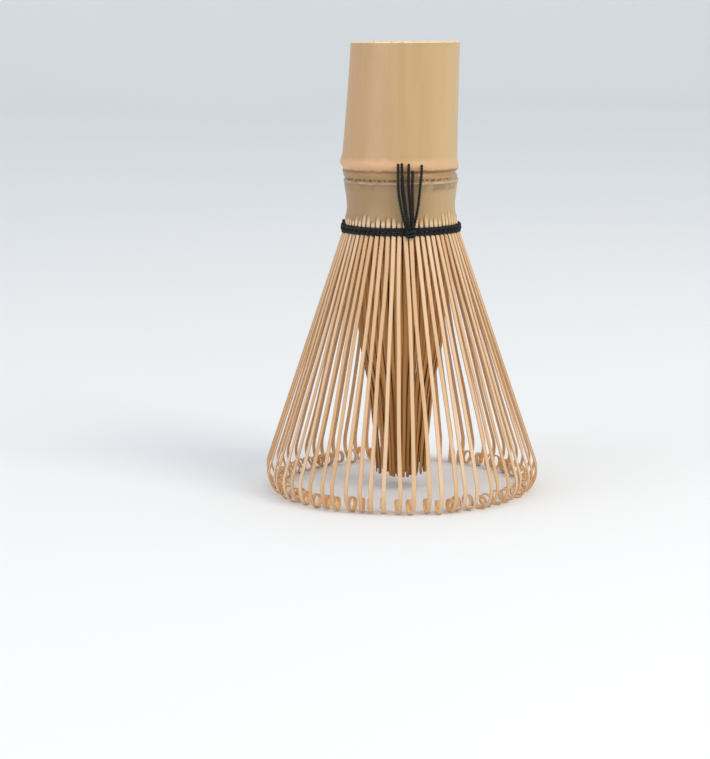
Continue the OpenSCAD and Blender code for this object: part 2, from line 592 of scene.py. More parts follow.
@dataclass
class InnerTines(Tines):
    """The bundle of inner tines: one ring down to mid height, and four layers from there to the tips.

    Attributes:
        root: radius and height of the roots.
        tip_r: radius that the outermost layer's tips reach.
        layers: how much further in each layer's tips reach.
        layer_spread: how much that varies from tine to tine.
        tip_spread: how much the tips' heights vary.
        sway: sideways bow of a tine.
        width: width at the root.
        tip_w: width at the tip.
        thickness: thickness at the root.
        seed: start of the random draws.
    """

    groups: int = 8
    bend_to: float = 18.0
    root: tuple[float, float] = (10.6, 58.4)
    tip_r: float = 5.6
    layers: tuple[float, ...] = (0.0, 1.9, 0.6, 2.8)
    layer_spread: Spread = Spread(0.0, 0.06)
    tip_spread: Spread = Spread(0.0, 0.5)
    sway: Spread = Spread(0.0, 0.14)
    width: float = 0.86
    tip_w: float = 0.62
    thickness: float = 0.44
    seed: int = 23

    def make(self) -> None:
        """Build the bundle.

        All tines follow one cone, side by side, down to where they no longer fit in one ring. From there
        each layer draws in further by its own depth, which it reaches at the tip.
        """
        source = np.random.default_rng(self.seed)
        n = self.count
        depth = np.array(self.layers)[np.arange(n) % len(self.layers)] + self.layer_spread.draw(source, n)
        low = self.sizes.inner_z + np.abs(self.tip_spread.draw(source, n))
        sway = self.sway.draw(source, n)
        share = np.linspace(0, 1, 26)
        root_r, root_z = self.root
        # The cone narrows evenly at first, most just past the middle, and least towards the tips.
        drawn_in = 0.27 * np.clip(share / 0.46, 0, 1)
        drawn_in = drawn_in + 0.45 * ease((share - 0.42) / 0.28) + 0.28 * ease((share - 0.62) / 0.38)
        cone = self.tip_r + (root_r - self.tip_r) * (1 - drawn_in)
        radius = cone - depth[:, None] * ease((share - 0.38) / 0.62)
        height = root_z + (low - root_z)[:, None] * share
        run = np.hypot(np.diff(radius, axis=1), np.diff(height, axis=1))
        whole = np.ones_like(radius)
        strips = Strips(
            angle=self.angles(),
            root=self.root,
            heading=np.arctan2(np.gradient(radius, axis=1), -np.gradient(height, axis=1)),
            length=np.concatenate([np.zeros((n, 1)), np.cumsum(run, axis=1)], axis=1),
            turn=np.zeros_like(radius),
            sway=sway[:, None] * np.sin(math.pi * share) * whole,
            half_w=(self.width + (self.tip_w - self.width) * ease((share - 0.6) / 0.4)) / 2 * whole,
            half_t=self.thickness / 2 * (1 - 0.3 * share) * whole,
            section=Section(sides=8, square=0.55),
        )
        values = strips.values(source.random(n))
        self.share_out(
            strips.rings(), values, "inner_tine_group_{}", "inner_tines_{}", "inner_group_{}", Slot.INNER
        )


# ----------------------------------------------------------------------------------------------- culm


@dataclass(frozen=True)
class Swell:
    """A rise of the surface that follows a bell curve of its height above the rim."""

    height: float
    half: float
    rise: float

    def at(self, h: np.ndarray) -> np.ndarray:
        """Rise of the surface at each height."""
        return self.rise * bump(h, self.height, self.half)


@dataclass
class Culm:
    """The grip: open culm, swollen node, sheath scar, waist, and the rim that is split into fingers.

    Attributes:
        sizes: heights and radii of the frame.
        finish: material of the culm.
        fingers: fingers of the split rim.
        columns: points round one finger and one slit. The first four cross the slit.
        bore_r: radius of the hollow above the septum.
        throat_r: radius of the hollow under it.
        rim_r: outer radius at the rim.
        culm_r: outer radius at the cut end.
        flare: how much wider the culm is just above the node.
        foot: height above the rim where the leaning culm starts.
        septum_under: height above the rim of the septum's underside.
        septum_top: height above the rim of its top.
        edge_in: radius of the cut end's inner edge.
        edge_out: radius of its outer edge.
        swells: the scar's lip and its pitted line, the node's crest and the groove below it.
        lean: lean of the culm above its node.
        lean_x: sideways shift of the culm's foot.
        slit_w: width of a slit at the rim.
        slit_r: radius at which that width is measured.
        slit_rise: height of a slit.
        slit_depth: depth of a slit.
        gape: least and greatest width of a slit, as a share of slit_w.
        crown: how far a finger stands out.
        seed: start of the random draws.
    """

    sizes: FrameSizes
    finish: bpy.types.Material
    fingers: int = 64
    columns: int = 8
    bore_r: float = 9.0
    throat_r: float = 9.8
    rim_r: float = 12.38
    culm_r: float = 11.91
    flare: float = 0.73875
    foot: float = 15.8
    septum_under: float = 11.9
    septum_top: float = 14.3
    edge_in: float = 0.28
    edge_out: float = 0.22
    swells: tuple[Swell, ...] = (
        Swell(11.1, 0.22, 0.15),
        Swell(11.6, 0.2, -0.2),
        Swell(14.75, 1.05, 0.3612),
        Swell(13.35, 0.42, -0.3096),
    )
    lean: float = math.radians(2.8)
    lean_x: float = -0.22
    slit_w: float = 0.62
    slit_r: float = 12.3
    slit_rise: Spread = Spread(3.95, 0.5)
    slit_depth: float = 1.1
    gape: tuple[float, float] = (0.45, 1.2)
    crown: float = 0.16
    seed: int = 5

    def outside(self) -> np.ndarray:
        """Work out the outside from the rim up, before the lean.

        A smooth step joins the waist, which narrows and widens by smooth steps, to the culm, whose
        flare falls off by a power of the height. The swells are added to both.

        Returns:
            (rows, 2) radius and height.
        """
        rim, top = self.sizes.rim_z, self.sizes.top_z
        slits_end, scar_start, node_end = rim + 4.6, rim + 11.0, rim + 17.5
        z = np.concatenate(
            [
                np.linspace(rim, slits_end, 20)[:-1],
                np.linspace(slits_end, scar_start, 12)[:-1],
                np.linspace(scar_start, node_end, 52)[:-1],
                np.linspace(node_end, top - 0.3, 18),
            ]
        )
        h = z - rim
        waist = self.rim_r - 0.44 * ease((h - 1.2) / 4.1) + 0.58 * ease((h - 5.4) / 6.2)
        culm = self.culm_r + self.flare * np.clip(1 - (h - self.foot) / 26, 0, 1) ** 1.5
        join = ease((h - 12.4) / 2.2)
        r = waist * (1 - join) + culm * join + sum(swell.at(h) for swell in self.swells)
        return np.stack([r, z], -1)

    def profile(self) -> tuple[np.ndarray, np.ndarray]:
        """Follow the wall from the septum's top up the bore, over the cut end, down, in and back up.

        The edges of the cut end are quarter circles.

        Returns:
            (rows, 2) radius and height, and (rows, 1) 1 where a row is on the outside.
        """
        rim, top = self.sizes.rim_z, self.sizes.top_z
        outer = self.outside()[::-1]
        floor, ceiling = rim + self.septum_top, rim + self.septum_under
        bowl = [[0.0, floor], [4.5, floor + 0.1], [7.6, floor + 0.35], [8.7, floor + 1.2]]
        bore = np.stack([np.full(7, self.bore_r), np.linspace(floor + 5, top - 0.35, 7)], -1)
        turn = np.linspace(0, math.pi / 2, 5)
        rise, fall = 1 - np.sin(turn), 1 - np.cos(turn)
        edge_in = np.stack([self.bore_r + self.edge_in * fall, top - self.edge_in * rise], -1)
        cut = np.stack([np.linspace(self.bore_r + 0.9, 11.2, 4), np.full(4, top)], -1)
        edge_out = np.stack([outer[0, 0] - self.edge_out * rise, top - self.edge_out * fall], -1)
        under = [[11.9, rim], [10.6, rim], [self.throat_r, rim], [self.throat_r - 0.1, rim + 5]]
        throat = [[9.5, rim + 9], [9.1, ceiling - 1], [8.2, ceiling - 0.1], [4, ceiling], [0, ceiling]]
        before = [np.array(bowl + [[self.bore_r, floor + 2.6]]), bore, edge_in, cut, edge_out]
        after = [np.array(under), np.array(throat)]
        is_outer = np.zeros((sum(map(len, before + after)) + len(outer), 1))
        first = sum(map(len, before))
        is_outer[first : first + len(outer)] = 1
        return np.concatenate([*before, outer, *after]), is_outer

    def split(self, height: np.ndarray, outer: np.ndarray) -> tuple[np.ndarray, np.ndarray, np.ndarray]:
        """Draw the columns together into slits that open towards the rim.

        A slit is a wedge: its half width grows evenly from its point to the rim. Where there is no
        slit, the columns are evenly spaced. A finger's crown is a pointed arch, narrow where its slits
        start and as wide as the finger at its foot.

        Args:
            height: (rows, 1) heights.
            outer: (rows, 1) 1 where a row is on the outside.

        Returns:
            Three (rows, columns) arrays: the angle round the axis, the share of a slit's full depth,
            and the share of a finger's full crown.
        """
        source = np.random.default_rng(self.seed)
        step = TAU / self.fingers
        rise = np.repeat(self.slit_rise.draw(source, self.fingers), self.columns)
        gape = np.repeat(source.uniform(*self.gape, self.fingers), self.columns)
        column = np.tile(np.arange(self.columns), self.fingers)
        left = np.clip(1 - (height - self.sizes.rim_z) / rise, 0, 1) * outer
        half = self.slit_w / 2 * gape * left / self.slit_r
        edge = np.array([-1.0, -0.6, 0.6, 1.0])[np.minimum(column, 3)]
        rest = (column - 3) / (self.columns - 3)
        drawn = np.where(column < 4, edge * half, half + (step - 2 * half) * rest)
        opened = ease(left * 6)
        even = column / self.columns * step
        angle = np.repeat(np.arange(self.fingers) * step, self.columns) + even * (1 - opened) + drawn * opened
        deep = ((column == 1) | (column == 2)) * ease(left * 2.5)
        arch = ease(left * 3.4 - 1.1 * (1 - np.sin(math.pi * rest)))
        return angle, deep, np.where(column > 3, arch, 0.0)

    def uneven(self, angle: np.ndarray, height: np.ndarray) -> np.ndarray:
        """Work out how far the hand-cut outside is off round.

        Three slow sines wind round the culm, a bell curve stands out on the node's left, and a quick
        sine makes the scar's edge ragged.

        Args:
            angle: (rows, columns) angle round the axis.
            height: (rows, 1) height.

        Returns:
            (rows, columns) change of the radius.
        """
        rim = self.sizes.rim_z
        wave = (
            0.035 * np.sin(2 * angle + 0.7)
            + 0.02 * np.sin(3 * angle + height * 0.07)
            + 0.012 * np.sin(5 * angle - height * 0.19)
        )
        from_left = np.abs(np.angle(np.exp(1j * (angle - math.pi))))
        nub = 0.12 * bump(from_left, 0.0, 0.3) * bump(height, rim + 14.0, 1.3)
        ragged = 0.05 * np.sin(9 * angle + 1.1) * bump(height, rim + 11.3, 0.5)
        return wave + nub + ragged

    def make(self) -> None:
        """Build the culm as one closed surface of revolution, and lean it above its node."""
        profile, outer = self.profile()
        radius, height = profile[:, :1], profile[:, 1:]
        angle, deep, arch = self.split(height, outer)
        whole = np.ones_like(angle)
        column = np.tile(np.arange(self.columns), self.fingers)
        crown = self.crown * arch * np.sin(math.pi * np.clip((column - 3) / (self.columns - 3), 0, 1))
        r = radius + (self.uneven(angle, height) - deep * self.slit_depth + crown) * outer
        surface = Surface()
        values = {"slit": deep, "skin": outer * whole, "finger": arch}
        surface.shell(self.leaned(r, angle, height * whole), values)
        surface.build_on_handle("culm_grip", self.finish, "culm_handle")

    def leaned(self, r: np.ndarray, angle: np.ndarray, z: np.ndarray) -> np.ndarray:
        """Lean the culm above its node, and keep its cut end level.

        A point above the node turns by the lean about the point where the culm's axis leaves the node.
        Towards the cut end, the turn's up and down part fades, so that the cut stays flat.

        Args:
            r: (rows, columns) radius.
            angle: (rows, columns) angle round the axis.
            z: (rows, columns) height.

        Returns:
            (rows, columns, 3) places.
        """
        foot = self.sizes.rim_z + self.foot
        share = ease((z - self.sizes.rim_z - 11.6) / 1.9)
        flat = ease((z - foot - 5) / (self.sizes.top_z - foot - 5))
        x, y = r * np.cos(angle), r * np.sin(angle)
        shift_x = self.lean_x + (z - foot) * math.tan(self.lean)
        shift_z = -x * math.sin(self.lean) * (1 - flat)
        return np.stack([x + shift_x * share, y, z + shift_z * share], -1)


# --------------------------------------------------------------------------------------------- thread


def frames_along(path: np.ndarray, closed: bool) -> tuple[np.ndarray, np.ndarray]:
    """Find two directions across a path at each of its points.

    The way ahead is the difference of neighbours. The first direction is the part of a fixed guide,
    out from the axis, that lies across it, and the second is the cross product of the two.

    Args:
        path: (points, 3) places.
        closed: whether the last point leads on to the first.

    Returns:
        Two (points, 3) arrays of unit vectors.
    """
    if closed:
        ahead = unit(np.roll(path, -1, axis=0) - np.roll(path, 1, axis=0))
    else:
        ahead = unit(np.gradient(path, axis=0))
    guide = unit(path * np.array([1.0, 1.0, 0.0]) + np.array([0.0, 0.0, 1e-6]))
    first = unit(guide - ahead * (guide * ahead).sum(-1, keepdims=True))
    return first, np.cross(ahead, first)


@dataclass(frozen=True)
class Yarn:
    """Plies twisted into a yarn.

    Attributes:
        plies: number of plies.
        ply_share: radius of a ply, as a share of the yarn's.
        sides: sides of a ply.
    """

    plies: int
    ply_share: float
    sides: int

    def spin(self, surface: Surface, path: np.ndarray, radius: np.ndarray, turns: float, hoop: bool) -> None:
        """Twist the plies round a path, and add them to a surface.

        Ply k lies at the yarn's radius less its own, at an angle of turns * t + k / plies of a whole
        turn, and each is a round tube. Its point value is how many twists along it a point is.

        Args:
            surface: where the tubes are added.
            path: (points, 3) places.
            radius: (points,) radius of the whole yarn.
            turns: whole turns over the path.
            hoop: whether the path is a hoop.
        """
        first, second = frames_along(path, hoop)
        t = np.arange(len(path)) / (len(path) if hoop else len(path) - 1)
        ply_r = radius * self.ply_share
        a = TAU * (turns * t + np.arange(self.plies)[:, None] / self.plies)
        off = (radius - ply_r)[None, :, None]
        core = path[None] + off * (np.cos(a)[..., None] * first + np.sin(a)[..., None] * second)
        b = np.arange(self.sides) / self.sides * TAU
        ring = np.cos(b)[None, :, None] * first[:, None] + np.sin(b)[None, :, None] * second[:, None]
        rings = core[:, :, None] + ring[None] * ply_r[None, :, None, None]
        twist = np.linspace(0, turns, len(path))[None, :, None]
        surface.tubes(rings, {"twist": np.ones(rings.shape[:3]) * twist}, hoop)


THREE_PLY = Yarn(3, 0.5, 7)
TWO_PLY = Yarn(2, 0.54, 7)
STITCH_PLY = Yarn(2, 0.54, 6)


@dataclass(frozen=True)
class LooseEnd:
    """One loose end of the thread, from the knot up to its cut top.

    Attributes:
        start: sideways place at the knot.
        end: sideways place at the top.
        top: height of the top above the rim.
        power: how soon it spreads.
        layer: 1 where it crosses over the others at the knot, and 0 where it lies on the waist.
    """

    start: float
    end: float
    top: float
    power: float
    layer: int


@dataclass
class Binding:
    """The black thread: two turns stitched round the roots, the divider, the knot and its loose ends.

    Attributes:
        sizes: heights and radii of the frame.
        finish: material of the thread.
        knot_angle: angle of the knot round the axis.
        turn_d: thickness of a turn.
        stitch_r: radius of a stitch.
        tuck_r: radius of the tucked-in start.
        tuck_angle: its angle round the axis.
        knot_r: radius of the yarn in the knot.
        tail_d: thickness of a loose end.
        hug_r: radius at which the loose ends lie on the waist.
        overhang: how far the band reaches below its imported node.
        fingers: fingers of the rim that the turns rise over.
        seed: start of the random draws.
        ends: the loose ends, from left to right.
    """

    sizes: FrameSizes
    finish: bpy.types.Material
    knot_angle: float = math.radians(-82.9)
    turn_d: float = 0.99
    stitch_r: float = 0.24
    tuck_r: float = 0.33
    tuck_angle: float = math.radians(181)
    knot_r: float = 0.3
    tail_d: float = 0.76
    hug_r: float = 13.5
    overhang: float = 0.32
    fingers: int = 64
    seed: int = 3
    ends: tuple[LooseEnd, ...] = (
        LooseEnd(-0.85, -2.65, 15.45, 2.6, 0),
        LooseEnd(-0.45, -1.85, 15.55, 2.2, 0),
        LooseEnd(-0.15, -1.62, 12.9, 1.7, 1),
        LooseEnd(0.35, -0.35, 15.4, 1.8, 0),
        LooseEnd(0.55, 0.5, 13.9, 1.4, 1),
        LooseEnd(0.75, 2.45, 15.2, 2.0, 0),
    )

    def local(self, across: np.ndarray, out: np.ndarray, z: np.ndarray) -> np.ndarray:
        """Places in the knot's own frame: sideways, out from the axis, and up."""
        ca, sa = math.cos(self.knot_angle), math.sin(self.knot_angle)
        return np.stack([out * ca - across * sa, out * sa + across * ca, z], -1)

    def hoop(
        self, surface: Surface, radius: float, z: float, d: float, ripple: float, lift: float, turns: int
    ) -> None:
        """Add a spun turn that rises over each finger and dips between them.

        The radius follows a cosine with one wave for each finger, and the height two slow sines.

        Args:
            surface: where the turn is added.
            radius: radius of its centre line.
            z: its height.
            d: thickness of the yarn.
            ripple: how far it rises over a finger.
            lift: how far it wanders up and down.
            turns: twists in one round.
        """
        points = self.fingers * 14
        a = np.arange(points) / points * TAU
        r = radius + ripple * np.cos(self.fingers * (a - TAU / self.fingers / 2))
        height = z + lift * (np.sin(7 * a) + 0.6 * np.sin(17 * a + 1))
        path = np.stack([r * np.cos(a), r * np.sin(a), height], -1)
        THREE_PLY.spin(surface, path, np.full(points, d / 2), turns, True)

    def band(self) -> None:
        """Make the two turns round the roots, and the slanting stitches that cross them."""
        source = np.random.default_rng(self.seed)
        low, high = self.sizes.band_low - self.overhang, self.sizes.band_high
        centre_r = self.sizes.band_r - self.turn_d / 2 + 0.06
        surface = Surface()
        for z, turns in ((low + 0.49, 58), (high - 0.49, 61)):
            self.hoop(surface, centre_r, z, self.turn_d, 0.05, 0.025, turns)
        slant = np.linspace(-1, 1, 9)
        for k in range(self.fingers):
            a = k * TAU / self.fingers + slant * 0.027 + source.normal(0, 0.003)
            out = centre_r + 0.13 + 0.3 * np.cos(slant * 1.35) + source.normal(0, 0.02)
            z = (low + high) / 2 + slant * (0.9 + source.normal(0, 0.06)) + source.normal(0, 0.03)
            path = np.stack([out * np.cos(a), out * np.sin(a), z], -1)
            STITCH_PLY.spin(surface, path, np.full(len(slant), self.stitch_r), 1.2, False)
        # Where the thread's start is tucked in, a short lump stands on top of the band.
        t = np.linspace(0, 1, 14)
        a = self.tuck_angle + t * 0.16
        z = high - 0.1 + 0.75 * np.sin(math.pi * t)
        path = np.stack([centre_r * np.cos(a), centre_r * np.sin(a), z], -1)
        STITCH_PLY.spin(surface, path, np.full(len(t), self.tuck_r), 2, False)
        surface.build_on_handle("binding_band", self.finish, "thread_outer_turns")

    def divider(self) -> None:
        """Make the turn between the two rings of tines, which weaves a little in and out."""
        low, high = self.sizes.divider_low, self.sizes.divider_high
        surface = Surface()
        d = high - low
        self.hoop(surface, self.sizes.divider_r - d / 2, (low + high) / 2, d, 0.03, 0.0, 52)
        surface.build_on_handle("binding_divider", self.finish, "thread_inner_turn")

    def knot(self) -> None:
        """Make the knot: two crossed loops, drawn tight, and two turns pulled down over them.

        A loop is a flattened circle that crosses over itself in depth once each way round.
        """
        z = self.sizes.knot_z - 0.3
        out = self.sizes.band_r + 0.42
        t = np.arange(60) / 60 * TAU
        thick = np.full(len(t), self.knot_r)
        surface = Surface()
        x, y = np.cos(t), 0.66 * np.sin(t)
        for tilt, depth in ((0.62, 0.0), (-0.62, 0.16)):
            c, s = math.cos(tilt), math.sin(tilt)
            path = self.local(x * c - y * s, out + depth + 0.22 * np.sin(2 * t), z + x * s + y * c)
            TWO_PLY.spin(surface, path, thick, 6, True)
        for height in (-0.34, 0.36):
            path = self.local(0.72 * np.cos(t), out + 0.2 + 0.5 * np.sin(t), z + height + 0.16 * np.cos(t))
            TWO_PLY.spin(surface, path, thick, 5, True)
        surface.build_on_handle("binding_knot", self.finish, "thread_knot")

    def tails(self) -> None:
        """Make the loose ends, which leave the knot together and fan out over the node.

        Each moves sideways by one less a power of what is left of its rise, lies close to the waist,
        and stands off where the node swells.
        """
        source = np.random.default_rng(self.seed + 1)
        foot = 1.5
        surface = Surface()
        t = np.linspace(0, 1, 70)
        hug = self.hug_r - 0.3 * np.sin(math.pi * np.clip(t * 1.1, 0, 1)) + 0.06 * t
        radius = self.tail_d / 2 * (1 - 0.2 * ease((t - 0.97) / 0.03))
        for tail in self.ends:
            across = tail.start + (tail.end - tail.start) * (1 - (1 - t) ** tail.power)
            across = across + 0.05 * np.sin(t * 9 + source.random() * 6)
            out = hug + 0.42 * tail.layer * (1 - t) ** 0.8 + 0.05 * np.sin(t * 7 + source.random() * 6)
            path = self.local(across, out, self.sizes.rim_z + foot + (tail.top - foot) * t)
            TWO_PLY.spin(surface, path, radius, 12, False)
        surface.build_on_handle("binding_tails", self.finish, "thread_tails")

    def make(self) -> None:
        """Build every stretch of the thread."""
        for stretch in (self.band, self.divider, self.knot, self.tails):
            stretch()


# ------------------------------------------------------------------------------------------- finishes


class Tree:
    """A node tree with short typed calls to add and join its nodes.

    A value given to a call is a socket, which is joined, or a number or colour, which is set.
    """

    def __init__(self, tree: bpy.types.NodeTree) -> None:
        """Hold the tree that nodes are added to."""
        self.tree = tree

    def add(self, kind: str, settings: dict[str, object] | None = None) -> bpy.types.Node:
        """Add a node.

        Args:
            kind: type of the node.
            settings: its own properties.

        Returns:
            The new node.
        """
        node = self.tree.nodes.new(kind)
        for key, value in (settings or {}).items():
            setattr(node, key, value)
        return node

    def feed(self, node: bpy.types.Node, values: dict[str | int, object]) -> bpy.types.Node:
        """Join sockets to a node's inputs, or set the inputs' own values.

        Args:
            node: the node.
            values: a socket or a plain value for each input.

        Returns:
            The same node.
        """
        for name, value in values.items():
            if isinstance(value, Socket):
                self.tree.links.new(value, node.inputs[name])
            else:
                node.inputs[name].default_value = value
        return node

    def attribute(self, name: str) -> Socket:
        """A point value of the piece."""
        return self.add("ShaderNodeAttribute", {"attribute_name": name}).outputs["Fac"]

    def place(self) -> Socket:
        """Object coordinates, in metres."""
        return self.add("ShaderNodeTexCoord").outputs["Object"]

    def parts(self, vector: Socket) -> bpy.types.bpy_prop_collection:
        """The X, Y and Z of a vector."""
        return self.feed(self.add("ShaderNodeSeparateXYZ"), {0: vector}).outputs

    def math(self, kind: str, a: object, b: object = 0.0, clamp: bool = False) -> Socket:
        """One sum, product or other operation on two values."""
        node = self.add("ShaderNodeMath", {"operation": kind, "use_clamp": clamp})
        return self.feed(node, {0: a, 1: b}).outputs[0]

    def times(self, a: object, b: object) -> Socket:
        """The product of two values."""
        return self.math("MULTIPLY", a, b)

    def plus(self, a: object, b: object) -> Socket:
        """The sum of two values."""
        return self.math("ADD", a, b)

    def vector(self, x: object, y: object, z: object) -> Socket:
        """Three values as one vector."""
        return self.feed(self.add("ShaderNodeCombineXYZ"), {0: x, 1: y, 2: z}).outputs[0]

    def stretch(self, vector: Socket, scale: Point) -> Socket:
        """A vector with each part multiplied by its own scale."""
        return self.feed(self.add("ShaderNodeMapping"), {"Vector": vector, "Scale": scale}).outputs[0]

    def noise(self, vector: Socket, stretch: Point, scale: float, detail: float, rough: float) -> Socket:
        """Smooth noise from 0 to 1.

        Args:
            vector: where it is read.
            stretch: scale of each part of that vector.
            scale: scale of the noise.
            detail: number of finer layers.
            rough: strength of the finer layers.

        Returns:
            The noise.
        """
        node = self.add("ShaderNodeTexNoise")
        values = {"Vector": self.stretch(vector, stretch), "Scale": scale, "Detail": detail}
        return self.feed(node, values | {"Roughness": rough}).outputs["Fac"]

    def remap(
        self, value: object, low: float, high: float, to_low: float = 0.0, to_high: float = 1.0
    ) -> Socket:
        """Move a value from one range to another by a smooth step, and hold it within it.

        Args:
            value: the value.
            low: start of the range that it comes from.
            high: end of that range.
            to_low: what the start becomes.
            to_high: what the end becomes.

        Returns:
            The moved value.
        """
        node = self.add("ShaderNodeMapRange", {"interpolation_type": "SMOOTHSTEP"})
        values = {"Value": value, "From Min": low, "From Max": high, "To Min": to_low, "To Max": to_high}
        return self.feed(node, values).outputs[0]

    def mix(self, share: object, a: object, b: object) -> Socket:
        """Two colours mixed by a share."""
        node = self.add("ShaderNodeMix", {"data_type": "RGBA"})
        return self.feed(node, {0: share, 6: a, 7: b}).outputs[2]

    def raise_by(self, height: Socket, strength: float, distance: float) -> Socket:
        """A normal that follows a height, where distance is the height's reach in metres."""
        values = {"Strength": strength, "Distance": distance, "Height": height}
        return self.feed(self.add("ShaderNodeBump"), values).outputs[0]


def colour(text: str) -> tuple[float, float, float, float]:
    """A colour written as six hexadecimal digits, made linear by the usual screen curve."""
    parts = [int(text[i : i + 2], 16) / 255 for i in (0, 2, 4)]
    return (*(c / 12.92 if c <= 0.04045 else ((c + 0.055) / 1.055) ** 2.4 for c in parts), 1.0)


def grain_group() -> bpy.types.NodeTree:
    """Build the bamboo grain, shared by every bamboo finish.

    Three noises are read along the fibres: broad streaks, fine fibres, and short dark flecks, which
    are kept only where their noise is high. The height is a mix of fibres and streaks.

    Returns:
        A group with a Vector and a Fleck Amount in, and Streak, Fibre, Fleck and Height out.
    """
    group = bpy.data.node_groups.new("bamboo_grain", "ShaderNodeTree")
    face = group.interface
    face.new_socket(name="Vector", in_out="INPUT", socket_type="NodeSocketVector")
    face.new_socket(name="Fleck Amount", in_out="INPUT", socket_type="NodeSocketFloat")
    for name in ("Streak", "Fibre", "Fleck", "Height"):
        face.new_socket(name=name, in_out="OUTPUT", socket_type="NodeSocketFloat")
    tree = Tree(group)
    given, out = tree.add("NodeGroupInput"), tree.add("NodeGroupOutput")
    vector = given.outputs["Vector"]
    streak = tree.noise(vector, (1.0, 1.0, 0.06), 0.55, 3, 0.55)
    fibre = tree.noise(vector, (1.0, 1.0, 0.03), 4.5, 2, 0.6)
    spot = tree.noise(vector, (1.0, 1.0, 0.55), 1.7, 2, 0.5)
    fleck = tree.times(tree.remap(spot, 0.7, 0.78), given.outputs["Fleck Amount"])
    height = tree.plus(tree.times(fibre, 0.7), tree.times(streak, 0.3))
    tree.feed(out, {"Streak": streak, "Fibre": fibre, "Fleck": fleck, "Height": height})
    return group


@dataclass(frozen=True)
class Finish:
    """Numbers and colours of one finish.

    Attributes:
        name: name of the material.
        pale: colour of the light streaks.
        deep: colour of the dark streaks.
        rough: lowest and highest roughness.
        flecks: how dark the flecks are, from 0 to 1.
    """

    name: str
    pale: str
    deep: str
    rough: tuple[float, float]
    flecks: float = 0.0

    def start(self) -> tuple[bpy.types.Material, Tree, bpy.types.Node]:
        """Start the material.

        Returns:
            The new material, its tree, and its Principled shader.
        """
        material = bpy.data.materials.new(self.name)
        material.use_nodes = True
        return material, Tree(material.node_tree), material.node_tree.nodes["Principled BSDF"]

    def grain(self, tree: Tree, group: bpy.types.NodeTree, vector: Socket) -> bpy.types.bpy_prop_collection:
        """Place the shared grain in the material.

        Args:
            tree: the material's tree.
            group: the shared grain group.
            vector: place in the wood, in millimetres, with Z along the fibres.

        Returns:
            The grain's outputs.
        """
        node = tree.add("ShaderNodeGroup", {"node_tree": group})
        return tree.feed(node, {"Vector": vector, "Fleck Amount": self.flecks}).outputs

    def surface(self, tree: Tree, shader: bpy.types.Node, base: Socket, fine: Socket, normal: Socket) -> None:
        """Join the colour, the roughness and the normal to the shader.

        Args:
            tree: the material's tree.
            shader: its Principled shader.
            base: the colour.
            fine: fine noise that the roughness follows.
            normal: the normal.
        """
        rough = tree.remap(fine, 0.3, 0.7, *self.rough)
        tree.feed(shader, {"Base Color": base, "Roughness": rough, "Normal": normal})


class Patch(Enum):
    """Where a band of colour shows."""

    ALL_ROUND = "all round"
    RIDGE = "less on the right of the ridge"
    NECK = "less on the right of the neck"
    # Patchy noise that breaks up the painted shadow under the scar's lip and the painted highlight along it.
    PATCHY_SHADE_AND_HIGHLIGHT = "in soft smudges"
    BROKEN = "in small broken marks"
    FINGER_HIGHLIGHT = "on the fingers' crowns"


@dataclass(frozen=True)
class Band:
    """A band round the culm between two heights above the rim, with soft edges.

    Attributes:
        low: height of its lower edge.
        high: height of its upper edge.
        soft: half the height over which its edges fade.
        amount: how much of the colour is laid on, from 0 to 1.
        tint: the colour.
        patch: where it shows.
    """

    low: float
    high: float
    soft: float
    amount: float = 0.0
    tint: str = "000000"
    patch: Patch = Patch.ALL_ROUND

    def mask(self, tree: Tree, level: Socket, patches: dict[Patch, Socket]) -> Socket:
        """Work out where the band shows: a smooth step up times a smooth step down, times its patch.

        Args:
            tree: the material's tree.
            level: height above the rim, in millimetres.
            patches: mask of every patch that isn't all round.

        Returns:
            The mask, from 0 to 1.
        """
        up = tree.remap(level, self.low - self.soft, self.low + self.soft)
        mask = tree.times(up, tree.remap(level, self.high - self.soft, self.high + self.soft, 1.0, 0.0))
        return tree.times(mask, patches[self.patch]) if self.patch in patches else mask


# In the order that they are laid on: the node's ridge (paler wood with a painted highlight), the neck (its
# own muted colour, with painted shade on its left and middle), painted shade on the neck's top and in the
# groove under the ridge, a painted shadow under the scar's lip, a thin painted shadow line, the scar's lip (a
# painted highlight), the line over it, the pits, and the fingers' painted highlights, each with a pale
# painted highlight at its foot
BANDS = (
    # Partly paler ridge wood, partly a painted highlight on the ridge.
    Band(13.7, 16.0, 0.6, 0.6, "D9A87E", Patch.RIDGE),
    # The neck's own muted colour, with painted shade on its left and middle.
    Band(-1.0, 13.0, 0.5, 0.72, "8D7048", Patch.NECK),
    # Painted shade on the neck's top, under the node's ridge.
    Band(11.75, 13.15, 0.25, 0.6, "9B7443"),
    # Painted shade in the groove under the ridge.
    Band(13.1, 13.75, 0.2, 0.85, "7F5022"),
    # Painted shadow under the scar's lip, broken into patches.
    Band(9.3, 10.9, 0.5, 0.85, "7C664E", Patch.PATCHY_SHADE_AND_HIGHLIGHT),
    # A thin painted shadow line just under the scar's lip.
    Band(10.4, 10.75, 0.15, 0.45, "7A6248"),
    # Painted highlight along the scar's lip.
    Band(10.82, 11.15, 0.12, 0.55, "E0C5A6", Patch.PATCHY_SHADE_AND_HIGHLIGHT),
    Band(11.2, 11.45, 0.12, 0.5, "8A6238"),
    Band(11.42, 11.85, 0.12, 0.95, "38200F", Patch.BROKEN),
    # Painted highlight down the middle of each finger's crown.
    Band(-1.0, 9.0, 0.5, 0.75, "DDB98B", Patch.FINGER_HIGHLIGHT),
    # Painted highlight where each finger meets the band.
    Band(1.0, 2.4, 0.35, 0.5, "EBCDB0", Patch.FINGER_HIGHLIGHT),
)
PITS = Band(11.3, 12.0, 0.2, patch=Patch.BROKEN)
PIT_DEPTH = 1.2


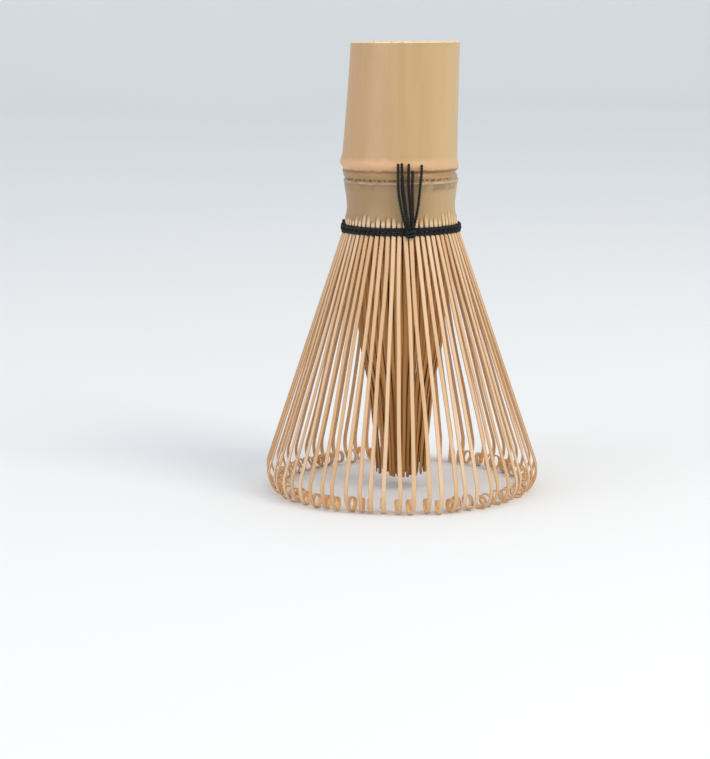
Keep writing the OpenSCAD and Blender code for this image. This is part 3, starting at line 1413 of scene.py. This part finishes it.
@dataclass(frozen=True)
class CulmFinish(Finish):
    """Skin of the culm: smooth and streaked, ruddier at the node, scarred and greyer below it, with painted
    highlights and painted shade laid over it in bands.
    """

    def make(self, group: bpy.types.NodeTree, sizes: FrameSizes) -> bpy.types.Material:
        """Build the material.

        Args:
            group: the shared grain group.
            sizes: heights that the bands of colour follow.

        Returns:
            The material.
        """
        material, tree, shader = self.start()
        place = tree.place()
        x, _, z = tree.parts(place)
        grain = self.grain(tree, group, tree.stretch(place, (1000.0, 1000.0, 1000.0)))
        base = tree.mix(tree.remap(grain["Streak"], 0.3, 0.7), colour(self.deep), colour(self.pale))
        base = tree.mix(tree.times(tree.remap(grain["Fibre"], 0.45, 0.75), 0.09), base, colour("A98557"))
        # Painted light and shade: the left side is painted a little pinker and darker, and the right side a
        # little paler and yellower, as if lit from the right.
        broad = tree.noise(place, (60.0, 60.0, 14.0), 1.0, 1, 0.5)
        side = tree.plus(tree.remap(x, -0.012, 0.013), tree.times(broad, 0.16))
        base = tree.mix(tree.remap(side, 0.1, 0.6, 0.4, 0.0), base, colour("BA8962"))
        base = tree.mix(tree.remap(side, 0.75, 1.2, 0.0, 0.45), base, colour("D2B888"))
        # Heights wander by a fraction of a millimetre round the culm.
        wander = tree.math("SUBTRACT", tree.noise(place, (420.0, 420.0, 90.0), 1.0, 3, 0.6), 0.5)
        wandered = tree.plus(z, tree.times(wander, 0.0009))
        level = tree.times(tree.math("SUBTRACT", wandered, sizes.rim_z * MM), 1 / MM)
        patches = {
            # The ridge's painted highlight fades towards the right side.
            Patch.RIDGE: tree.remap(side, 0.5, 1.1, 1.0, 0.45),
            # The neck's darker tint fades towards the right: painted shade on its left and middle.
            Patch.NECK: tree.remap(side, 0.55, 1.1, 1.0, 0.42),
            # Patchy noise for the painted shadow under the scar's lip and its painted highlight.
            Patch.PATCHY_SHADE_AND_HIGHLIGHT: tree.remap(tree.noise(place, (260.0, 260.0, 120.0), 1.0, 3, 0.6), 0.38, 0.7),
            Patch.BROKEN: tree.remap(tree.noise(place, (2200.0, 2200.0, 1500.0), 1.0, 2, 0.6), 0.45, 0.6),
            Patch.FINGER_HIGHLIGHT: tree.attribute("finger"),
        }
        for band in BANDS:
            share = tree.math("MULTIPLY", band.mask(tree, level, patches), band.amount, True)
            base = tree.mix(share, base, colour(band.tint))
        base = tree.mix(grain["Fleck"], base, colour("7A6238"))
        # Inside and on the cut, the wood is paler and coarser, with dark fibre ends.
        dots = tree.noise(place, (1.0, 1.0, 0.05), 2600.0, 2, 0.7)
        raw = tree.mix(tree.remap(dots, 0.52, 0.66), colour("EBD2A8"), colour("A97C4A"))
        base = tree.mix(tree.attribute("skin"), raw, base)
        # Painted shade: the slits are darkened, most towards the rim.
        base = tree.mix(tree.math("MULTIPLY", tree.attribute("slit"), 0.9, True), base, colour("5A3314"))
        height = tree.plus(grain["Height"], tree.times(PITS.mask(tree, level, patches), -PIT_DEPTH))
        self.surface(tree, shader, base, grain["Fibre"], tree.raise_by(height, 0.35, 0.00007))
        tree.feed(shader, {"Coat Weight": 0.12, "Coat Roughness": 0.35})
        return material


@dataclass(frozen=True)
class TineFinish(Finish):
    """A pared tine: skin on its outer face, darker cut edges, and orange pith on its inner face.

    Attributes:
        edge: colour of the cut edges.
        pith: colour of the inner face of the blade.
        curl_pith: colour of the inner face of the curl.
    """

    edge: str = "B27F4C"
    pith: str = "D8AC80"
    curl_pith: str = "F2BE7A"

    def make(self, group: bpy.types.NodeTree) -> bpy.types.Material:
        """Build the material.

        Args:
            group: the shared grain group.

        Returns:
            The material.
        """
        material, tree, shader = self.start()
        across, skin, tone = (tree.attribute(name) for name in ("across", "skin", "tone"))
        # Each tine's tone also moves the grain, so that no two tines have the same.
        shifted = tree.plus(tree.times(across, 0.6), tree.times(tone, 90.0))
        grain = self.grain(tree, group, tree.vector(shifted, skin, tree.attribute("along")))
        own = tree.plus(tree.times(tone, 0.55), tree.times(grain["Streak"], 0.45))
        fibres = tree.times(tree.remap(grain["Fibre"], 0.5, 0.75), 0.3)
        edges = tree.remap(tree.math("ABSOLUTE", across), 0.82, 1.0, 0.0, 0.55)
        pith = tree.mix(tree.attribute("curl"), colour(self.pith), colour(self.curl_pith))
        base = tree.mix(tree.remap(own, 0.2, 0.75), colour(self.deep), colour(self.pale))
        base = tree.mix(fibres, base, colour(self.edge))
        base = tree.mix(edges, base, colour(self.edge))
        base = tree.mix(tree.remap(skin, 0.2, -0.6, 0.0, 0.85), base, pith)
        base = tree.mix(grain["Fleck"], base, colour("6E4A22"))
        self.surface(tree, shader, base, grain["Fibre"], tree.raise_by(grain["Height"], 0.3, 0.00005))
        return material


@dataclass(frozen=True)
class ThreadFinish(Finish):
    """Waxed black thread: hairs over each ply, a little lint, and a low sheen."""

    def make(self) -> bpy.types.Material:
        """Build the material.

        Hair is a fine noise and lint a broad one. The height adds a sine of the twist to the hair.

        Returns:
            The material.
        """
        material, tree, shader = self.start()
        hair = tree.noise(tree.place(), (5200.0, 5200.0, 2600.0), 1.0, 3, 0.7)
        lint = tree.noise(tree.place(), (900.0, 900.0, 900.0), 1.0, 2, 0.6)
        wound = tree.math("SINE", tree.times(tree.attribute("twist"), TAU))
        base = tree.mix(tree.remap(hair, 0.35, 0.75), colour(self.deep), colour(self.pale))
        base = tree.mix(tree.remap(lint, 0.6, 0.85, 0.0, 0.35), base, colour("22222C"))
        height = tree.plus(hair, tree.times(wound, 0.15))
        self.surface(tree, shader, base, hair, tree.raise_by(height, 0.6, 0.00006))
        tree.feed(shader, {"Sheen Weight": 0.03, "Sheen Roughness": 0.5})
        return material


# ---------------------------------------------------------------------------------------------- stage


@dataclass(frozen=True)
class Lamp:
    """A soft square lamp that points at the middle of the whisk.

    Attributes:
        name: its name.
        place: where it stands.
        size: length of its side.
        power: its power in watts.
        tint: its colour.
    """

    name: str
    place: Point
    size: float
    power: float
    tint: str

    def make(self) -> None:
        """Hang the lamp, turned towards a point half way up the whisk."""
        data = bpy.data.lights.new(self.name, "AREA")
        data.shape = "SQUARE"
        data.size = self.size * MM
        data.energy = self.power
        data.color = colour(self.tint)[:3]
        lamp = bpy.data.objects.new(self.name, data)
        lamp.location = Vector(self.place) * MM
        lamp.rotation_mode = "QUATERNION"
        lamp.rotation_quaternion = (Vector((0, 0, 50 * MM)) - lamp.location).to_track_quat("-Z", "Y")
        bpy.context.scene.collection.objects.link(lamp)


@dataclass
class Studio:
    """Plain pale floor and wall, soft lights, and the camera.

    Attributes:
        lens: focal length.
        pitch: how far the camera is tipped down.
        roll: how far it is rolled about its own line.
        eye: where it stands.
        floor: colours of the floor's cloudy paper.
        wall: colour of the wall.
        lamps: a key light from the upper right, and a weaker fill from the left.
    """

    lens: float = 96.86
    pitch: float = math.radians(9.89)
    roll: float = math.radians(-0.3465)
    eye: Point = (-10.4, -451.5, 103.2)
    floor: tuple[str, str] = ("E6E9EB", "ECEEF0")
    wall: str = "FAFBFC"
    lamps: tuple[Lamp, ...] = (
        Lamp("key", (520.0, -420.0, 620.0), 420.0, 3.5, "FFF6E8"),
        Lamp("fill", (-700.0, -500.0, 300.0), 600.0, 2.3, "EEF3FF"),
    )

    def camera(self) -> None:
        """Make the camera: level along +Y, tipped down by the pitch and rolled about its own line."""
        data = bpy.data.cameras.new("camera")
        data.lens = self.lens
        data.sensor_width = 36.0
        data.clip_start, data.clip_end = 0.01, 20.0
        eye = bpy.data.objects.new("camera", data)
        tip = Matrix.Rotation(math.pi / 2 - self.pitch, 4, "X")
        roll = Matrix.Rotation(self.roll, 4, "Z")
        eye.matrix_world = Matrix.Translation(Vector(self.eye) * MM) @ tip @ roll
        bpy.context.scene.collection.objects.link(eye)
        bpy.context.scene.camera = eye

    def paper(self) -> bpy.types.Material:
        """Build the paper: a faintly clouded floor that brightens up the wall.

        Returns:
            The material.
        """
        material = bpy.data.materials.new("pale_paper")
        material.use_nodes = True
        tree = Tree(material.node_tree)
        place = tree.place()
        cloud = tree.noise(place, (3.0, 3.0, 3.0), 1.0, 2, 0.5)
        floor = tree.mix(cloud, *(colour(text) for text in self.floor))
        base = tree.mix(tree.remap(tree.parts(place)[2], 0.0, 0.6), floor, colour(self.wall))
        tree.feed(material.node_tree.nodes["Principled BSDF"], {"Base Color": base, "Roughness": 0.9})
        return material

    def backdrop(self) -> None:
        """Make one sheet that is a floor in front and a wall behind, joined by a quarter circle."""
        front, depth, bend, rise, half = -6000.0, 2200.0, 400.0, 2600.0, 3000.0
        t = np.linspace(0, math.pi / 2, 17)
        y = np.concatenate([[front], depth + bend * np.sin(t), [depth + bend]])
        z = np.concatenate([[0.0], bend * (1 - np.cos(t)), [rise]])
        n = len(y)
        points = np.stack([np.repeat([-half, half], n), np.tile(y, 2), np.tile(z, 2)], -1) * MM
        mesh = bpy.data.meshes.new("backdrop")
        mesh.from_pydata(points.tolist(), [], [[i, i + n, i + n + 1, i + 1] for i in range(n - 1)])
        mesh.polygons.foreach_set("use_smooth", np.ones(n - 1, dtype=bool))
        mesh.materials.append(self.paper())
        sheet = bpy.data.objects.new("backdrop", mesh)
        bpy.context.scene.collection.objects.link(sheet)

    def lights(self) -> None:
        """Hang the lamps in a pale surround, and show colours as they are."""
        for lamp in self.lamps:
            lamp.make()
        world = bpy.data.worlds.new("surround")
        world.use_nodes = True
        shader = world.node_tree.nodes["Background"]
        shader.inputs["Color"].default_value = colour("F2F5F8")
        shader.inputs["Strength"].default_value = 0.9
        bpy.context.scene.world = world
        bpy.context.scene.view_settings.view_transform = "Standard"


def main() -> None:
    """Build the whisk round its frame, in order, with the camera first."""
    logging.basicConfig(level=logging.INFO, format="%(name)s: %(message)s")
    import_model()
    studio = Studio()
    studio.camera()
    sizes = FrameSizes.read()
    LOG.info("frame: %s", sizes)
    group = grain_group()
    skin = CulmFinish("culm_skin", "BA9A6D", "B59568", (0.36, 0.5), 0.4).make(group, sizes)
    outer = TineFinish("outer_tine_bamboo", "D8B894", "C99F72", (0.4, 0.58), 0.12).make(group)
    # Painted shade: the inner tines get darker, browner copies of the tine colours, as the bundle stands in
    # the outer ring's shade.
    shaded_tints = {"edge": "80501E", "pith": "8C5824", "curl_pith": "8C5824"}
    inner = TineFinish("inner_tine_bamboo", "BC8647", "9F6A30", (0.5, 0.7), 0.15, **shaded_tints).make(group)
    black = ThreadFinish("black_thread", "0E0D0F", "030303", (0.68, 0.85)).make()
    Culm(sizes, skin).make()
    OuterTines(sizes, outer).make()
    InnerTines(sizes, inner).make()
    Binding(sizes, black).make()
    studio.backdrop()
    studio.lights()


if __name__ == "__main__":
    main()
